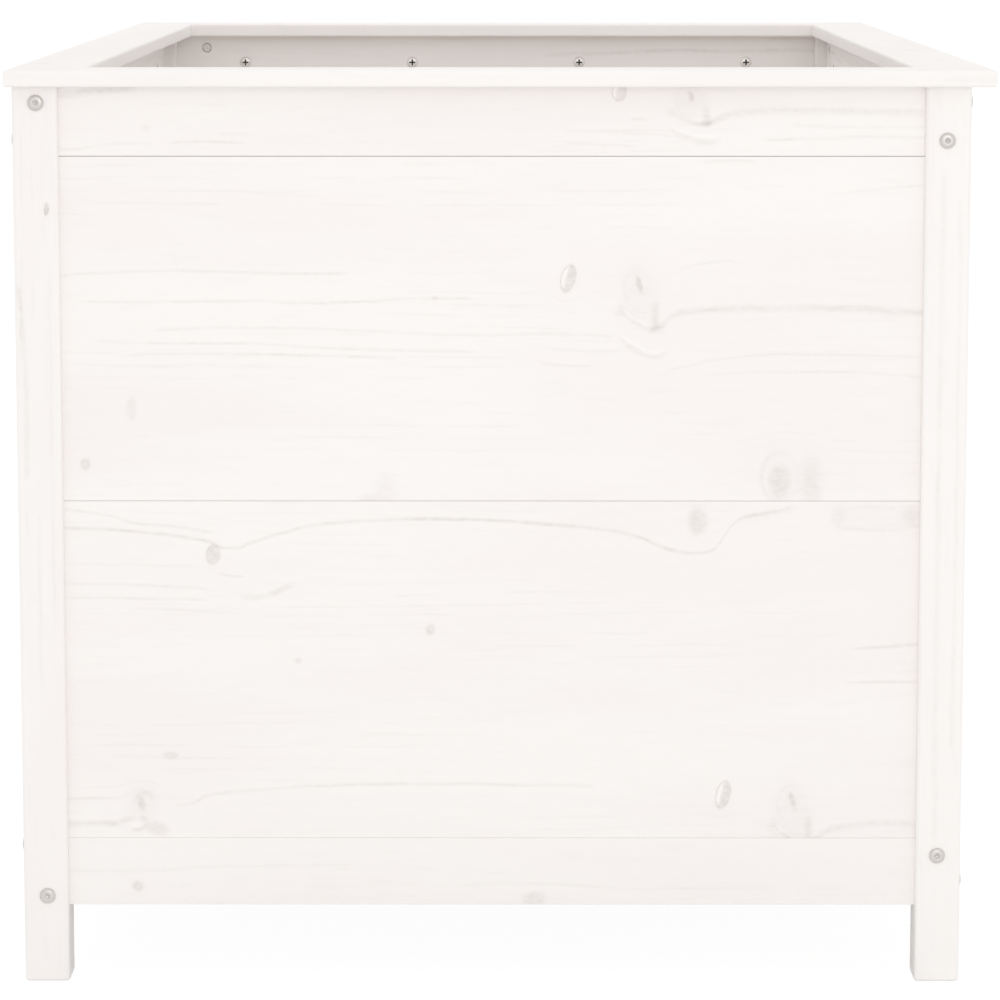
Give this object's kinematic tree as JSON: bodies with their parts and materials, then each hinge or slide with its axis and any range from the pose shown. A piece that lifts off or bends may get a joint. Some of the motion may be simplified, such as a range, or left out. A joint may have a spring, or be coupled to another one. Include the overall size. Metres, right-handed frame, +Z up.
{
  "type": "raised planter box",
  "caption": "Rectangular raised planter box in white painted timber, with square corner posts as feet, wide wall boards between bolted rails, a flat mitred rim and a slatted floor.",
  "frame": {"origin": "on the ground, under the middle of the rim", "axes": "+Z up, -Y out of the short side seen in front, long sides along Y"},
  "size_m": [0.825, 1.195, 0.78],
  "materials": {
    "painted_pine": "satin white paint over pine, grain and knots showing faintly",
    "floor_pine": "one thin matt coat of white paint",
    "zinc_steel": "zinc plated, dull"
  },
  "bodies": {
    "root": {"post_front_left": "painted_pine", "post_front_right": "painted_pine", "post_rear_right": "painted_pine", "post_rear_left": "painted_pine", "front_bottom_rail": "painted_pine", "front_board_1": "painted_pine", "front_board_2": "painted_pine", "front_top_rail": "painted_pine", "right_bottom_rail": "painted_pine", "right_board_1": "painted_pine", "right_board_2": "painted_pine", "right_top_rail": "painted_pine", "rear_bottom_rail": "painted_pine", "rear_board_1": "painted_pine", "rear_board_2": "painted_pine", "rear_top_rail": "painted_pine", "left_bottom_rail": "painted_pine", "left_board_1": "painted_pine", "left_board_2": "painted_pine", "left_top_rail": "painted_pine", "rim_front": "painted_pine", "rim_right": "painted_pine", "rim_rear": "painted_pine", "rim_left": "painted_pine", "front_bottom_bolt_left": "zinc_steel", "front_bottom_bolt_right": "zinc_steel", "front_top_bolt_left": "zinc_steel", "front_top_bolt_right": "zinc_steel", "right_bottom_bolt_left": "zinc_steel", "right_bottom_bolt_right": "zinc_steel", "right_top_bolt_left": "zinc_steel", "right_top_bolt_right": "zinc_steel", "rear_bottom_bolt_left": "zinc_steel", "rear_bottom_bolt_right": "zinc_steel", "rear_top_bolt_left": "zinc_steel", "rear_top_bolt_right": "zinc_steel", "left_bottom_bolt_left": "zinc_steel", "left_bottom_bolt_right": "zinc_steel", "left_top_bolt_left": "zinc_steel", "left_top_bolt_right": "zinc_steel", "floor_bearer_left": "floor_pine", "floor_bearer_right": "floor_pine", "floor_board_1": "floor_pine", "floor_board_2": "floor_pine", "floor_board_3": "floor_pine", "floor_board_4": "floor_pine", "floor_board_5": "floor_pine", "floor_board_6": "floor_pine", "floor_board_7": "floor_pine"}
  },
  "joints": []
}
